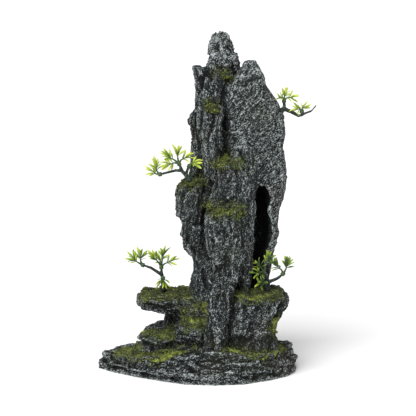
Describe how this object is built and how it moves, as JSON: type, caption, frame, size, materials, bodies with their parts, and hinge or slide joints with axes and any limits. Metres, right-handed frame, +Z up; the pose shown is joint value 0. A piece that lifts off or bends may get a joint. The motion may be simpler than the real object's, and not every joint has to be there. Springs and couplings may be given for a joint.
{
  "type": "aquarium rock ornament",
  "caption": "Tall cast-resin rock tower with a cave, an overhanging shelf, flocked moss and small plug-in plastic trees, to stand in an aquarium or on a shelf.",
  "frame": {"origin": "middle of the flat underside of the base, on the surface that it stands on", "axes": "+Z up; -Y to the front, where the cave mouth and most of the ledges are; +X to the right seen from the front"},
  "size_m": [0.1682, 0.105, 0.26],
  "materials": {
    "cast_stone": "matt grey-black cast resin, pitted, with light grey dry-brushing on the edges",
    "moss_flock": "matt flock fibre, yellow-green over olive",
    "trunk_plastic": "dark green moulded bark",
    "leaf_plastic": "soft sheen, dark green at the stem to yellow-green at the tips"
  },
  "bodies": {
    "rock": {"base_slab": "cast_stone", "core_block": "cast_stone", "lower_step": "cast_stone", "step_stone": "cast_stone", "plant_shelf": "cast_stone", "right_boulder": "cast_stone", "front_pillar": "cast_stone", "left_column": "cast_stone", "left_buttress": "cast_stone", "left_tower": "cast_stone", "centre_column": "cast_stone", "spire": "cast_stone", "ledge_column": "cast_stone", "arch_column": "cast_stone", "great_slab": "cast_stone", "rear_slab": "cast_stone", "rear_boulder": "cast_stone", "rear_step": "cast_stone", "moss_shelf": "moss_flock", "moss_boulder": "moss_flock", "moss_boulder_edge": "moss_flock", "moss_pillar_top": "moss_flock", "moss_buttress": "moss_flock", "moss_mid_ledge": "moss_flock", "moss_column_top": "moss_flock", "moss_spire_foot": "moss_flock", "moss_step": "moss_flock", "moss_lower_step": "moss_flock", "moss_base_left": "moss_flock", "moss_base_right": "moss_flock"},
    "upper_right_tree": {"upper_right_tree_trunk": "trunk_plastic", "upper_right_tree_crown_spray": "leaf_plastic", "upper_right_tree_outer_spray": "leaf_plastic"},
    "mid_left_tree": {"mid_left_tree_trunk": "trunk_plastic", "mid_left_tree_outer_spray": "leaf_plastic", "mid_left_tree_crown_spray": "leaf_plastic", "mid_left_tree_inner_spray": "leaf_plastic"},
    "lower_left_tree": {"lower_left_tree_trunk": "trunk_plastic", "lower_left_tree_crown_spray": "leaf_plastic", "lower_left_tree_outer_spray": "leaf_plastic", "lower_left_tree_low_spray": "leaf_plastic"},
    "lower_right_tree": {"lower_right_tree_trunk": "trunk_plastic", "lower_right_tree_crown_spray": "leaf_plastic", "lower_right_tree_outer_spray": "leaf_plastic", "lower_right_tree_low_spray": "leaf_plastic"}
  },
  "joints": [
    {"name": "upper_right_tree_pull", "type": "slide", "parent": "rock", "child": "upper_right_tree", "axis": [0.8601, 0, 0.5101], "range_m": [0, 0.012]},
    {"name": "mid_left_tree_pull", "type": "slide", "parent": "rock", "child": "mid_left_tree", "axis": [0, 0, 1], "range_m": [0, 0.012]},
    {"name": "lower_left_tree_pull", "type": "slide", "parent": "rock", "child": "lower_left_tree", "axis": [0, 0, 1], "range_m": [0, 0.012]},
    {"name": "lower_right_tree_pull", "type": "slide", "parent": "rock", "child": "lower_right_tree", "axis": [0, 0, 1], "range_m": [0, 0.012]}
  ]
}
